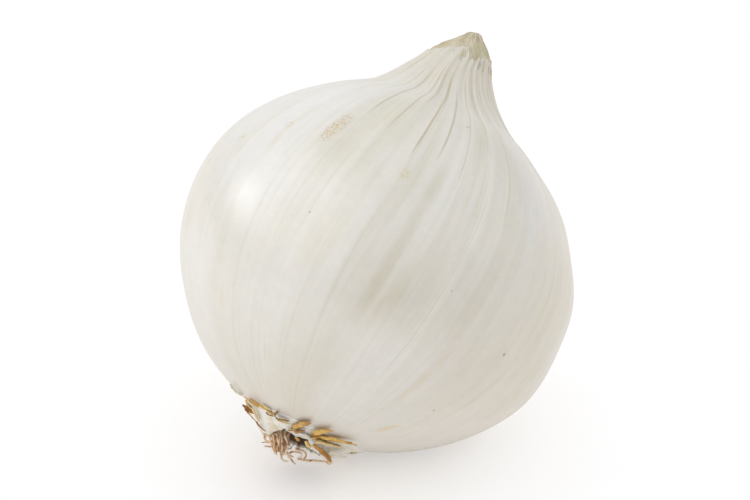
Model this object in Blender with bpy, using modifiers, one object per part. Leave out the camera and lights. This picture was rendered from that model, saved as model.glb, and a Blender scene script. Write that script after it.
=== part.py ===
"""A white onion lying on its flank, with its dried roots and the torn golden skin round its root plate.

Metres, +Z up. The origin is the middle of the small flat spot that the onion rests on, and the neck leans
towards +X. Every piece is shaped about the bulb's own axis, with the widest ring at height 0 and the root
end down, and is then laid over by one matrix.
"""

import math
import random

import bmesh
import bpy
from mathutils import Matrix, Vector
from mathutils.geometry import interpolate_bezier

MM = 0.001

# Bulb, about its own axis
BULB_RADIUS = 45.0 * MM
SHOULDER_RISE = 42.0 * MM
BASE_DROP = 41.0 * MM
NECK_START_RADIUS = 20.5 * MM
NECK_SKIN_EDGE = (7.8 * MM, 51.5 * MM)
NECK_TIP_TOP = 58.6 * MM
# Root plate: (radius, height) in mm, from where it leaves the body's oval to the middle of its hollow
PLATE_PROFILE = (
    (14.2, -39.05),
    (12.6, -39.7),
    (11.4, -40.5),
    (10.3, -41.5),
    (9.3, -42.6),
    (8.5, -43.4),
    (7.9, -43.7),
    (7.4, -43.4),
    (7.15, -42.7),
    (6.7, -42.4),
    (3.5, -42.4),
    (0.0, -42.4),
)
PLATE_FLOOR = -42.4 * MM
PLATE_TILT = 0.5 * MM
COLUMNS = 108

# How it lies
LEAN = math.radians(39.5)
REST_SPOT_RADIUS = 7.5 * MM

# Ribs that run from the root end to the neck, and become its pleats
RIB_COUNT = 27
RIB_HEIGHT_BODY = 0.07 * MM
RIB_HEIGHT_NECK = 0.44 * MM
LUMP_HEIGHT = 0.42 * MM
FLAT_SIDE = math.radians(-55)
FLAT_DEPTH = 0.9 * MM
FULL_DEPTH = 1.0 * MM
# Where the body swells or sinks: angle (degrees), height (mm), spread of each, amount (mm)
BUMPS = (
    (140, 12, 32, 14, 0.85),
    (128, -22, 30, 9, -0.6),
    (305, 27, 30, 7, 0.7),
    (305, 9, 30, 8, 0.5),
)
NECK_SHIFT = 1.15 * MM
TIP_SIDE = math.radians(-55)
TIP_SLANT = 0.1
TIP_PINCH = 0.24
TEAR_SLANT = 1.5 * MM
# Where the lip of the root plate is torn down: angle, half width (degrees), depth (mm)
LIP_NOTCH = (207, 38, 1.0)

# Dried roots
CROWN_RADIUS = 4.8 * MM
CROWN_TOP = PLATE_FLOOR - 0.4 * MM
CROWN_BOTTOM = PLATE_FLOOR - 1.9 * MM
CROWN_CENTRE = Vector((-0.95 * MM, 1.35 * MM, 0.0))
ROOT_COUNT = 49
ROOT_STEP = 0.82 * MM
ROOT_RADIUS = 0.42 * MM
LIP_INNER = 6.0 * MM
LIP_CLEARANCE = PLATE_FLOOR - 2.75 * MM
FLOOR_CLEARANCE = 1.0 * MM

# Torn golden skin
SCRAP_THICKNESS = 0.62 * MM
SCRAP_LIFT = 0.72 * MM
COLLAR_THICKNESS = 0.84 * MM
COLLAR_WANDER = 0.45 * MM
COLLAR_INNER = 12.0 * MM
COLLAR_OUTER = 13.2 * MM
SCRAP_ROWS = 5
# Each scrap: angle round the axis (degrees), radius its tip reaches (mm), half width (mm), skew (degrees)
SCRAPS = (
    (203, 19.2, 1.45, 16),
    (221, 20.2, 1.35, 20),
    (237, 18.4, 0.95, 48),
    (249, 16.4, 1.20, 26),
    (262, 16.6, 0.90, -14),
    (275, 14.8, 1.45, 24),
    (296, 14.5, 1.00, -34),
    (309, 14.2, 1.35, 20),
    (334, 14.4, 0.95, -12),
    (350, 14.1, 1.20, 14),
    (6, 14.3, 0.90, -20),
    (29, 15.0, 1.30, 12),
    (44, 16.9, 0.95, -20),
    (60, 16.0, 1.25, 28),
    (76, 18.0, 1.05, -12),
    (92, 15.6, 1.30, 18),
    (106, 15.4, 0.90, -34),
    (119, 14.5, 1.25, 14),
    (132, 15.4, 0.95, -36),
    (147, 15.0, 1.35, 22),
    (164, 16.0, 0.90, -28),
    (184, 15.6, 1.15, 24),
)

SKIN_WHITE = (0.88, 0.86, 0.80, 1.0)
ROOT_BROWN = (0.36, 0.22, 0.12, 1.0)
SCRAP_GOLD = (0.72, 0.48, 0.17, 1.0)


def clear_scene():
    for obj in list(bpy.data.objects):
        bpy.data.objects.remove(obj)


def new_collection(name):
    collection = bpy.data.collections.new(name)
    bpy.context.scene.collection.children.link(collection)
    return collection


def principled(name, colour, roughness):
    material = bpy.data.materials.new(name)
    material.use_nodes = True
    shader = material.node_tree.nodes["Principled BSDF"]
    shader.inputs["Base Color"].default_value = colour
    shader.inputs["Roughness"].default_value = roughness
    shader.inputs["Metallic"].default_value = 0.0
    material.diffuse_color = colour
    return material


def add_object(name, data, collection):
    obj = bpy.data.objects.new(name, data)
    collection.objects.link(obj)
    return obj


def evaluated_mesh(obj):
    """The object's mesh with its modifiers, or its curve's bevel, applied and doubled points welded."""
    bpy.context.view_layer.update()
    graph = bpy.context.evaluated_depsgraph_get()
    mesh = bpy.data.meshes.new_from_object(obj.evaluated_get(graph))
    shape = bmesh.new()
    shape.from_mesh(mesh)
    bmesh.ops.remove_doubles(shape, verts=shape.verts, dist=0.002 * MM)
    shape.to_mesh(mesh)
    shape.free()
    return mesh


def smooth_step(value, start, end):
    share = min(max((value - start) / (end - start), 0.0), 1.0)
    return share * share * (3.0 - 2.0 * share)


def resting_pose():
    """The matrix that lays a piece over: it leans the axis and puts the rest spot's middle at the origin."""
    reach = math.hypot(BULB_RADIUS * math.sin(LEAN), BASE_DROP * math.cos(LEAN))
    touch_radius = BULB_RADIUS**2 * math.sin(LEAN) / reach
    touch_height = -(BASE_DROP**2) * math.cos(LEAN) / reach
    touch_x = touch_radius * math.cos(LEAN) + touch_height * math.sin(LEAN)
    flattened = REST_SPOT_RADIUS**2 / (2.0 * reach)
    return Matrix.Translation((-touch_x, 0.0, reach - flattened)) @ Matrix.Rotation(LEAN, 4, "Y")


POSE = resting_pose()


def turned(name, profile, steps, collection):
    """A profile of (radius, height) points, listed from the top down, turned about the axis."""
    mesh = bpy.data.meshes.new(name)
    points = [(radius, 0.0, height) for radius, height in profile]
    mesh.from_pydata(points, [(i, i + 1) for i in range(len(points) - 1)], [])
    obj = add_object(name, mesh, collection)
    screw = obj.modifiers.new("Turn", "SCREW")
    screw.steps = screw.render_steps = steps
    screw.use_merge_vertices = True
    screw.merge_threshold = 0.01 * MM
    return obj


def body_arc(rise, start, end, steps):
    """Points of the body's oval outline between two latitudes, in degrees."""
    angles = [math.radians(start + (end - start) * i / steps) for i in range(steps + 1)]
    return [(BULB_RADIUS * math.cos(a), rise * math.sin(a)) for a in angles]


def neck_curve():
    """The hollow curve from the edge of the skin at the neck down to the shoulder."""
    radius, height = NECK_SKIN_EDGE
    latitude = math.acos(NECK_START_RADIUS / BULB_RADIUS)
    shoulder = Vector((NECK_START_RADIUS, SHOULDER_RISE * math.sin(latitude)))
    slope = Vector((BULB_RADIUS * math.sin(latitude), -SHOULDER_RISE * math.cos(latitude))).normalized()
    edge = Vector((radius, height))
    edge_handle = edge + Vector((0.36, -0.93)) * 5.0 * MM
    points = interpolate_bezier(edge, edge_handle, shoulder - slope * 6.4 * MM, shoulder, 10)
    return [(p.x, p.y) for p in points]


def bulb_profile():
    """The whole outline, from the dried tip of the neck down to the middle of the root plate."""
    radius, height = NECK_SKIN_EDGE
    tip_radii = (0.0, 0.7, 1.6, 2.3, 3.1, 4.1, 5.1, 6.0)
    tip_drops = (0.5, 0.0, 0.4, 1.3, 2.1, 3.1, 4.2, 5.3)
    tip = [(r * MM, NECK_TIP_TOP - drop * MM) for r, drop in zip(tip_radii, tip_drops)]
    skin_edge = [(radius - 0.35 * MM, height + 0.12 * MM)]
    latitude = math.degrees(math.acos(NECK_START_RADIUS / BULB_RADIUS))
    shoulder = body_arc(SHOULDER_RISE, latitude, 0.0, 10)[1:]
    base = body_arc(BASE_DROP, 0.0, -67.0, 11)[1:]
    plate = [(r * MM, h * MM) for r, h in PLATE_PROFILE]
    return tip + skin_edge + neck_curve() + shoulder + base + plate


def rib_relief(angle, height, strengths):
    """How far the ribs stand out: creased valleys between rounded ribs, deepest where they are gathered."""
    place = (angle / math.tau % 1.0) * RIB_COUNT
    rib = round(place * 4.0) // 4 % RIB_COUNT
    crest = abs(math.sin(math.pi * place)) - 0.6
    gathered = smooth_step(height, 8.0 * MM, 44.0 * MM)
    tall = RIB_HEIGHT_BODY + (RIB_HEIGHT_NECK - RIB_HEIGHT_BODY) * gathered
    fade = smooth_step(height, -33.0 * MM, -12.0 * MM) * (1.0 - 0.6 * smooth_step(height, 52 * MM, 56 * MM))
    return tall * fade * crest * strengths[rib]


def lump_relief(angle, height):
    """The slow unevenness of a grown bulb, with one flank flatter at its shoulder and fuller below."""
    fade = smooth_step(height, -34.0 * MM, -10.0 * MM) * (1.0 - smooth_step(height, 33 * MM, 43 * MM))
    waves = math.cos(2 * angle - 2.8) + 0.6 * math.cos(3 * angle + 1.3) + 0.35 * math.cos(5 * angle - 3.0)
    flatter = FLAT_DEPTH * smooth_step(height, 4.0 * MM, 27.0 * MM)
    fuller = FULL_DEPTH * (1.0 - smooth_step(height, -16.0 * MM, 2.0 * MM))
    flank = 0.5 + 0.5 * math.cos(angle - FLAT_SIDE)
    return fade * (LUMP_HEIGHT * waves + (fuller - flatter) * flank) + bump_relief(angle, height)


def degrees_apart(angle, degrees):
    return (math.degrees(angle) - degrees + 180.0) % 360.0 - 180.0


def bump_relief(angle, height):
    """The swellings and hollows that belong to this one bulb."""
    relief = 0.0
    for degrees, level, wide, tall, amount in BUMPS:
        sideways = degrees_apart(angle, degrees) / wide
        upward = (height / MM - level) / tall
        relief += amount * MM * math.exp(-(sideways**2) - upward**2)
    return relief


def lip_notch(angle):
    """How far the lip of the root plate is torn down."""
    degrees, half_width, depth = LIP_NOTCH
    away = abs(degrees_apart(angle, degrees))
    return depth * MM * (1.0 - smooth_step(away, 0.45 * half_width, 1.25 * half_width))


def uneven_angle(angle, height):
    """Ribs of uneven width, with a slight twist up the bulb."""
    spread = 0.09 * math.sin(2 * angle + 0.6) + 0.045 * math.sin(5 * angle + 2.1)
    return angle + spread + 0.10 * math.sin(height / (32.0 * MM))


def neck_bend(height):
    """How far the neck stands aside from the axis: most at its foot, and less again at its tip."""
    back = 0.5 * smooth_step(height, 48.0 * MM, 54.0 * MM)
    return NECK_SHIFT * (smooth_step(height, 36.0 * MM, 46.0 * MM) - back)


def ragged(angle, waves):
    """An irregular wave between about -1 and 1, from whole numbers of waves round the axis."""
    return sum(math.sin(n * angle + 1.7 * n * n) for n in waves) / len(waves) * 1.4


def plate_tilt(angle, radius):
    """The root plate hangs lower on the side where the roots have grown."""
    share = smooth_step(radius, 1.0 * MM, 7.0 * MM) * (1.0 - smooth_step(radius, 9.0 * MM, 14.0 * MM))
    return PLATE_TILT * math.cos(angle - TIP_SIDE) * share


def shape_bulb_vertex(place, normal, strengths):
    """Moves a point of the turned bulb to where the ribs, lumps, torn edges and crumpled tip put it."""
    radius, height = math.hypot(place.x, place.y), place.z
    if radius < 0.01 * MM:
        return place
    angle = math.atan2(place.y, place.x)
    moved = place + normal * (rib_relief(angle, height, strengths) + lump_relief(angle, height))
    side = math.cos(uneven_angle(angle, height) - TIP_SIDE)
    edge = smooth_step(height, 47.0 * MM, 50.0 * MM) * (1.0 - smooth_step(height, 51.4 * MM, 53.5 * MM))
    edge_shift = (TEAR_SLANT * side + 0.45 * MM * ragged(angle, (7, 13, 18))) * edge
    lip = smooth_step(-height, 42.2 * MM, 43.4 * MM)
    lip_shift = (0.25 * MM * ragged(angle, (6, 11, 17)) + lip_notch(angle)) * lip + plate_tilt(angle, radius)
    new_radius = math.hypot(moved.x, moved.y) - 0.5 * edge_shift
    new_angle = uneven_angle(angle, height)
    top = smooth_step(height, 52.0 * MM, 57.0 * MM)
    slant = TIP_SLANT * new_radius * side * top
    crumple = 0.3 * MM * ragged(angle, (3, 7, 10)) * smooth_step(height, 55.5 * MM, 57.0 * MM)
    shaped = Vector((math.cos(new_angle), math.sin(new_angle), 0.0)) * new_radius
    across = Vector((-math.sin(TIP_SIDE), math.cos(TIP_SIDE), 0.0))
    shaped -= across * shaped.dot(across) * TIP_PINCH * top
    shaped -= Vector((math.cos(TIP_SIDE), math.sin(TIP_SIDE), 0.0)) * neck_bend(height)
    shaped.z = moved.z + edge_shift + lip_shift + slant + crumple
    return shaped


def make_bulb(collection, cutters):
    rng = random.Random(11)
    strengths = [rng.uniform(0.55, 1.25) for _ in range(RIB_COUNT)]
    shape = turned("bulb_turned", bulb_profile(), COLUMNS, cutters)
    mesh = evaluated_mesh(shape)
    bpy.data.objects.remove(shape)
    normals = [vertex.normal.copy() for vertex in mesh.vertices]
    for vertex, normal in zip(mesh.vertices, normals):
        vertex.co = shape_bulb_vertex(vertex.co.copy(), normal, strengths)
    bulb = add_object("bulb", mesh, collection)
    bulb.matrix_world = POSE
    bpy.ops.mesh.primitive_cube_add(size=BULB_RADIUS, location=(0.0, 0.0, -BULB_RADIUS / 2))
    floor = bpy.context.active_object
    floor.name = "below_rest_spot"
    move_to(floor, cutters)
    floor.hide_render = True
    floor.display_type = "WIRE"
    flat = bulb.modifiers.new("Rest spot", "BOOLEAN")
    flat.operation = "DIFFERENCE"
    flat.solver = "EXACT"
    flat.object = floor
    return bulb


def move_to(obj, collection):
    for other in list(obj.users_collection):
        other.objects.unlink(obj)
    collection.objects.link(obj)


def root_path(index, rng):
    """The points of one dried root: out of the crown, splayed, then curling at random."""
    share = (index + 0.5) / ROOT_COUNT
    angle = index * math.pi * (3.0 - math.sqrt(5.0))
    out = Vector((math.cos(angle), math.sin(angle), 0.0))
    place = CROWN_CENTRE + out * (CROWN_RADIUS - 0.9 * MM) * math.sqrt(share)
    place.z = CROWN_BOTTOM + 0.7 * MM
    heading = (Vector((0.0, 0.0, -1.0)) + out * share * rng.uniform(0.2, 0.9)).normalized()
    points = [place.copy()]
    spin_axis = Vector((rng.uniform(-1, 1), rng.uniform(-1, 1), rng.uniform(-0.5, 0.5))).normalized()
    curl = math.radians(rng.uniform(6, 27))
    for step in range(rng.randint(4, 7)):
        place = place + heading * ROOT_STEP
        if (POSE @ place).z < FLOOR_CLEARANCE + ROOT_RADIUS:
            break
        if math.hypot(place.x, place.y) > LIP_INNER:
            place.z = min(place.z, LIP_CLEARANCE)
        points.append(place.copy())
        heading = Matrix.Rotation(curl, 3, spin_axis) @ heading
    return points


def make_root(index, points, collection):
    """One dried root, thick at the crown and thin at the tip, as a closed mesh."""
    curve = bpy.data.curves.new(f"root_{index:02d}", "CURVE")
    curve.dimensions = "3D"
    curve.bevel_depth = ROOT_RADIUS
    curve.bevel_resolution = 0
    curve.use_fill_caps = True
    spline = curve.splines.new("POLY")
    spline.points.add(len(points) - 1)
    for i, (point, place) in enumerate(zip(spline.points, points)):
        point.co = (*place, 1.0)
        point.radius = 1.0 - 0.45 * i / (len(points) - 1)
    guide = add_object(curve.name, curve, collection)
    mesh = evaluated_mesh(guide)
    name = guide.name
    bpy.data.objects.remove(guide)
    return add_object(name, mesh, collection)


def join_repeats(base, repeats, solver):
    """Fuses every object of a collection into the base, and removes them."""
    union = base.modifiers.new("Grown together", "BOOLEAN")
    union.operation = "UNION"
    union.operand_type = "COLLECTION"
    union.collection = repeats
    union.solver = solver
    fused = evaluated_mesh(base)
    base.modifiers.clear()
    base.data = fused
    for obj in list(repeats.objects):
        bpy.data.objects.remove(obj)
    bpy.data.collections.remove(repeats)


def make_root_tuft(collection):
    rng = random.Random(5)
    roots = new_collection("roots")
    for index in range(ROOT_COUNT):
        make_root(index, root_path(index, rng), roots)
    edge = 0.5 * MM
    profile = [
        (0.0, CROWN_TOP),
        (CROWN_RADIUS - edge, CROWN_TOP),
        (CROWN_RADIUS, CROWN_TOP - edge),
        (CROWN_RADIUS - edge, CROWN_BOTTOM + edge),
        (CROWN_RADIUS * 0.6, CROWN_BOTTOM),
        (0.0, CROWN_BOTTOM - 0.4 * MM),
    ]
    turned_crown = turned("crown_turned", profile, 28, collection)
    crown = add_object("root_tuft", evaluated_mesh(turned_crown), collection)
    bpy.data.objects.remove(turned_crown)
    crown.data.transform(Matrix.Translation(CROWN_CENTRE))
    join_repeats(crown, roots, "MANIFOLD")
    crown.matrix_world = POSE
    return crown


def base_outline(radius):
    """The height of the outline near the root end, at a radius outside the root plate's hollow."""
    outline = [(r * MM, h * MM) for r, h in PLATE_PROFILE[:7]]
    if radius >= outline[0][0]:
        return -BASE_DROP * math.sqrt(1.0 - (radius / BULB_RADIUS) ** 2)
    for (outer, above), (inner, below) in zip(outline, outline[1:]):
        if radius >= inner:
            return below + (above - below) * (radius - inner) / (outer - inner)
    return outline[-1][1]


def base_skin(angle, radius, lift):
    """A point that far above the skin near the root end."""
    step = 0.4 * MM
    slope = (base_outline(radius + step) - base_outline(radius - step)) / (2.0 * step)
    normal = Vector((slope, 0.0, -1.0)).normalized()
    point = Vector((radius, 0.0, base_outline(radius))) + normal * lift
    return Matrix.Rotation(angle, 3, "Z") @ point


def sheet_from_grid(name, rows, columns, place_at, collection):
    """An open sheet whose grid points are put where place_at(along, across) says, given a thickness."""
    shape = bmesh.new()
    bmesh.ops.create_grid(shape, x_segments=columns, y_segments=rows, size=0.5)
    for vertex in shape.verts:
        vertex.co = place_at(vertex.co.y + 0.5, vertex.co.x * 2.0)
    bmesh.ops.triangulate(shape, faces=shape.faces)
    mesh = bpy.data.meshes.new(name)
    shape.to_mesh(mesh)
    shape.free()
    sheet = add_object(name, mesh, collection)
    thicken(sheet, SCRAP_THICKNESS)
    solid = add_object(f"{name}_solid", evaluated_mesh(sheet), collection)
    bpy.data.objects.remove(sheet)
    return solid


def thicken(sheet, thickness):
    solidify = sheet.modifiers.new("Thickness", "SOLIDIFY")
    solidify.thickness = thickness
    solidify.offset = 0.0


def make_scrap(index, rng, collection):
    """One torn scrap: a pointed blade that starts in the collar and lies outwards over the skin."""
    degrees, tip_radius, half_width, skew = SCRAPS[index]
    angle, yaw = math.radians(degrees), math.radians(skew)
    floor_side = max(0.0, math.cos(angle)) ** 2
    start = COLLAR_INNER + rng.uniform(-1.1, 0.5) * MM
    length = tip_radius * MM - start
    bend = rng.uniform(-0.9, 0.9) * MM
    curl = rng.uniform(0.0, 0.7) * MM * (1.0 - floor_side)
    tilt = rng.uniform(-0.6, 0.6) * (1.0 - floor_side)
    start_lift = SCRAP_LIFT + rng.uniform(-0.08, 0.1) * MM

    def place_at(along, across):
        narrowing = (1.0 - 0.72 * along**1.8) * (0.86 + 0.14 * math.cos(7.0 * along + index))
        sideways = across * half_width * MM * narrowing + math.tan(yaw) * length * along
        radius = start + length * along
        lift = start_lift + curl * along**2 + max(0.0, tilt * across) * half_width * MM * along
        return base_skin(angle + (sideways + bend * along**2) / radius, radius, lift)

    return sheet_from_grid(f"scrap_{index:02d}", SCRAP_ROWS, 2, place_at, collection)


def wander_over_skin(place):
    """Slides a point of the collar in or out along the skin, so that its edges aren't true circles."""
    radius = math.hypot(place.x, place.y)
    angle = math.atan2(place.y, place.x)
    slid = radius + COLLAR_WANDER * ragged(angle, (4, 7, 11))
    rise = base_outline(slid) - base_outline(radius)
    return Vector((math.cos(angle) * slid, math.sin(angle) * slid, place.z + rise))


def make_torn_skin(collection):
    rng = random.Random(23)
    scraps = new_collection("scraps")
    for index in range(len(SCRAPS)):
        make_scrap(index, rng, scraps)
    mid_radius = (COLLAR_INNER + COLLAR_OUTER) / 2
    spots = [base_skin(0.0, r, SCRAP_LIFT) for r in (COLLAR_OUTER, mid_radius, COLLAR_INNER)]
    band = turned("collar_band", [(p.x, p.z) for p in spots], 60, collection)
    thicken(band, COLLAR_THICKNESS)
    torn_skin = add_object("torn_skin", evaluated_mesh(band), collection)
    bpy.data.objects.remove(band)
    for vertex in torn_skin.data.vertices:
        vertex.co = wander_over_skin(vertex.co)
    join_repeats(torn_skin, scraps, "MANIFOLD")
    torn_skin.matrix_world = POSE
    return torn_skin


def finish_piece(obj, material):
    obj.data.materials.clear()
    obj.data.materials.append(material)
    obj.data.shade_smooth()
    obj.data.set_sharp_from_angle(angle=math.radians(40))


def main():
    clear_scene()
    onion = new_collection("onion")
    cutters = new_collection("cutters")
    finish_piece(make_bulb(onion, cutters), principled("white_skin", SKIN_WHITE, 0.38))
    finish_piece(make_root_tuft(onion), principled("dried_root", ROOT_BROWN, 0.85))
    finish_piece(make_torn_skin(onion), principled("golden_scrap", SCRAP_GOLD, 0.55))


main()
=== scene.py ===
# A white onion lying on its flank on a white table: papery skin, pleated neck, torn golden skin, dried roots.
# Shapes are worked out in millimetres about the bulb's own axis, root end down, and laid over at the end.
import random
from math import acos, atan2, cos, degrees, dist, exp, hypot, pi, radians, sin, sqrt, tan, tau

import bpy
from mathutils import Matrix, Vector, noise
from mathutils.geometry import interpolate_bezier


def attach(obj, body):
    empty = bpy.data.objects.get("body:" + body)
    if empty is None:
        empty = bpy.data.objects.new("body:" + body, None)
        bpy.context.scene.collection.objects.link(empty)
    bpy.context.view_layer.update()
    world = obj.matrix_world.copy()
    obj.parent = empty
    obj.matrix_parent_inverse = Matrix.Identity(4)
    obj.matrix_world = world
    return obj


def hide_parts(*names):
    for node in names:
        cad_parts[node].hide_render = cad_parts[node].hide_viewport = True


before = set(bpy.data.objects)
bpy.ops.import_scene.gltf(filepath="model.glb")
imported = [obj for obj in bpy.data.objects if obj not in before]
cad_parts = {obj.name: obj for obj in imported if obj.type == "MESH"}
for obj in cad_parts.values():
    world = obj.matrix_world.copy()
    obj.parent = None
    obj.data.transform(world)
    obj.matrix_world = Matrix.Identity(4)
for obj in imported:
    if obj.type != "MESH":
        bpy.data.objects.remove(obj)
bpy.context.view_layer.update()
mm = 0.001

bulb = {
    "radius": 45.0,  # widest ring
    "rise": 42.0,  # shoulder height above the widest ring
    "drop": 41.0,  # root end below it
    "neckStart": 20.5,  # radius where the shoulder turns up into the neck
    "skinEdge": (7.8, 51.5),  # radius and height of the torn rim
    "tipTop": 58.4,
    "lean": 39.5,  # degrees from upright
    "restSpot": 7.5,  # radius of the flat it rests on
    "flatSide": -55.0,
    "flatDepth": 0.9,
    "fullDepth": 1.0,
    "lump": 0.42,
    "ribs": 27,
    "ribBody": 0.07,
    "ribNeck": 0.3,
    "neckShift": 1.15,
    "tipSlant": 0.1,
    "tipPinch": 0.24,
    "plateTilt": 0.5,
    # where it swells or sinks: angle in degrees, height, spread of each, amount
    "bumps": ((140, 12, 32, 14, 0.85), (128, -22, 30, 9, -0.6), (305, 27, 30, 7, 0.7), (305, 9, 30, 8, 0.5)),
}
# The root plate from where it leaves the body to its lip: radius and height
rootPlate = (
    (14.2, -39.05), (12.6, -39.7), (11.4, -40.5), (10.3, -41.5),
    (9.3, -42.6), (8.5, -43.4), (7.9, -43.7),
)


def smooth(value, start, end):
    share = min(max((value - start) / (end - start), 0.0), 1.0)
    return share * share * (3.0 - 2.0 * share)


def lyingPose():
    lean, size, drop = radians(bulb["lean"]), bulb["radius"], bulb["drop"]
    reach = hypot(size * sin(lean), drop * cos(lean))
    touchX = (size**2 - drop**2) * sin(lean) * cos(lean) / reach
    sunk = bulb["restSpot"] ** 2 / (2.0 * reach)
    return Matrix.Translation((-touchX * mm, 0.0, (reach - sunk) * mm)) @ Matrix.Rotation(lean, 4, "Y")


lay = lyingPose()


def ragged(angle, waves):
    return sum(sin(n * angle + 1.7 * n * n) for n in waves) / len(waves) * 1.4


def wander(a, b, c, scale=1.0):  # smooth random value between about -1 and 1
    return noise.noise(Vector((a, b, c)) * scale)


def wanderRound(angle, reach, level, scale=1.0):
    return wander(cos(angle) * reach, sin(angle) * reach, level, scale)


def heading(angle):
    return Vector((cos(angle), sin(angle), 0.0))


# Outline of the bulb, from the neck down


def bodyArc(rise, start, end, steps):
    turns = [radians(start + (end - start) * i / steps) for i in range(steps + 1)]
    return [(bulb["radius"] * cos(a), rise * sin(a)) for a in turns]


def neckCurve(steps):
    edge = Vector(bulb["skinEdge"])
    latitude = acos(bulb["neckStart"] / bulb["radius"])
    shoulder = Vector((bulb["neckStart"], bulb["rise"] * sin(latitude)))
    slope = Vector((bulb["radius"] * sin(latitude), -bulb["rise"] * cos(latitude))).normalized()
    steep = edge + Vector((0.36, -0.93)) * 5.0
    points = interpolate_bezier(edge, steep, shoulder - slope * 6.4, shoulder, steps)
    return [(p.x, p.y) for p in points]


def finer(points, step):  # a smooth line through the points, with a point about every step
    line = []
    for i in range(len(points) - 1):
        p0 = Vector(points[max(i - 1, 0)])
        p1, p2 = Vector(points[i]), Vector(points[i + 1])
        p3 = Vector(points[min(i + 2, len(points) - 1)])
        count = max(1, round((p2 - p1).length / step))
        for k in range(count):
            t = k / count
            bent, turned = 2 * p0 - 5 * p1 + 4 * p2 - p3, 3 * p1 - p0 - 3 * p2 + p3
            spot = 0.5 * (2 * p1 + (p2 - p0) * t + bent * t**2 + turned * t**3)
            line.append((max(spot.x, 0.0), spot.y))
    return line + [points[-1]]


# Relief, the same as the solid's and then finer

ribDraw = random.Random(11)
ribStrengths = [ribDraw.uniform(0.55, 1.25) for _ in range(bulb["ribs"])]


def ribRelief(angle, height):
    place = (angle / tau % 1.0) * bulb["ribs"]
    rib = int(place) % bulb["ribs"]
    crest = abs(sin(pi * place)) - 0.6
    gathered = smooth(height, 8.0, 44.0)
    tall = bulb["ribBody"] + (bulb["ribNeck"] - bulb["ribBody"]) * gathered
    fade = smooth(height, -33.0, -12.0) * (1.0 - 0.6 * smooth(height, 52.0, 56.0))
    blend = smooth(place % 1.0, 0.8, 1.0)
    strength = ribStrengths[rib] * (1 - blend) + ribStrengths[(rib + 1) % bulb["ribs"]] * blend
    return tall * fade * crest * strength


def lumpRelief(angle, height):
    fade = smooth(height, -34.0, -10.0) * (1.0 - smooth(height, 33.0, 43.0))
    waves = cos(2 * angle - 2.8) + 0.6 * cos(3 * angle + 1.3) + 0.35 * cos(5 * angle - 3.0)
    flatter = bulb["flatDepth"] * smooth(height, 4.0, 27.0)
    fuller = bulb["fullDepth"] * (1.0 - smooth(height, -16.0, 2.0))
    flank = 0.5 + 0.5 * cos(angle - radians(bulb["flatSide"]))
    return fade * (bulb["lump"] * waves + (fuller - flatter) * flank) + bumpRelief(angle, height)


def apart(angle, bearing):
    return (degrees(angle) - bearing + 180.0) % 360.0 - 180.0


def bumpRelief(angle, height):
    relief = 0.0
    for bearing, level, wide, tall, amount in bulb["bumps"]:
        relief += amount * exp(-((apart(angle, bearing) / wide) ** 2) - ((height - level) / tall) ** 2)
    return relief


def unevenAngle(angle, height):
    spread = 0.09 * sin(2 * angle + 0.6) + 0.045 * sin(5 * angle + 2.1)
    return angle + spread + 0.10 * sin(height / 32.0)


def neckBend(height):
    return bulb["neckShift"] * (smooth(height, 36.0, 46.0) - 0.5 * smooth(height, 48.0, 54.0))


def evenedAngle(wanted, height):  # the angle that ends up as the wanted one
    angle = wanted
    for _ in range(8):
        angle -= unevenAngle(angle, height) - wanted
    return angle


def laidOver(radius, height, angle):
    side = radians(bulb["flatSide"])
    turned = unevenAngle(angle, height)
    slant = cos(turned - side)
    top = smooth(height, 52.0, 57.0)
    place = heading(turned) * radius
    across = Vector((-sin(side), cos(side), 0.0))
    place -= across * place.dot(across) * bulb["tipPinch"] * top
    place -= heading(side) * neckBend(height)
    place.z = height + bulb["tipSlant"] * radius * slant * top
    return place


def turnedPiece(name, outline, columns, shape):
    run, normals = [0.0], []
    for (r1, h1), (r2, h2) in zip(outline, outline[1:]):
        run.append(run[-1] + hypot(r2 - r1, h2 - h1))
    for i in range(len(outline)):
        (r1, h1), (r2, h2) = outline[max(i - 1, 0)], outline[min(i + 1, len(outline) - 1)]
        normals.append(Vector((h1 - h2, r2 - r1)).normalized())
    places, grains = [], []
    for i in range(1, len(outline) - 1):
        radius, height = outline[i]
        for j in range(columns):
            angle = tau * j / columns
            places.append(shape(angle, radius, height, normals[i]))
            grains.append((cos(angle), sin(angle), run[i] / bulb["radius"]))
    rings = len(outline) - 2
    places += [shape(0.0, *outline[0], normals[0]), shape(0.0, *outline[-1], normals[-1])]
    grains += [(0.0, 0.0, 0.0), (0.0, 0.0, run[-1] / bulb["radius"])]
    top, bottom = rings * columns, rings * columns + 1
    faces, sheet = [], []
    for j in range(columns):
        k, left, right = (j + 1) % columns, j / columns, (j + 1) / columns
        faces.append((top, j, k))
        sheet += [(left, 0.0), (left, run[1]), (right, run[1])]
        for i in range(rings - 1):
            a, b = i * columns, (i + 1) * columns
            faces.append((a + j, b + j, b + k, a + k))
            sheet += [(left, run[i + 1]), (left, run[i + 2]), (right, run[i + 2]), (right, run[i + 1])]
        faces.append((bottom, (rings - 1) * columns + k, (rings - 1) * columns + j))
        sheet += [(left, run[-1]), (right, run[-2]), (left, run[-2])]
    mesh = meshFrom(name, places, faces)
    uv = mesh.uv_layers.new(name="skin")
    uv.data.foreach_set("uv", [value for u, v in sheet for value in (u, v / run[-1])])
    storeVectors(mesh, "grain", grains)
    return addPiece(name, mesh)


def meshFrom(name, places, faces):
    mesh = bpy.data.meshes.new(name)
    mesh.from_pydata([restOnTable(lay @ (place * mm)) for place in places], [], faces)
    mesh.shade_smooth()
    return mesh


def restOnTable(point):
    return Vector((point.x, point.y, max(point.z, 0.0)))


def storeVectors(mesh, name, vectors):
    layer = mesh.attributes.new(name, "FLOAT_VECTOR", "POINT")
    layer.data.foreach_set("vector", [value for vector in vectors for value in vector])


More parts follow.
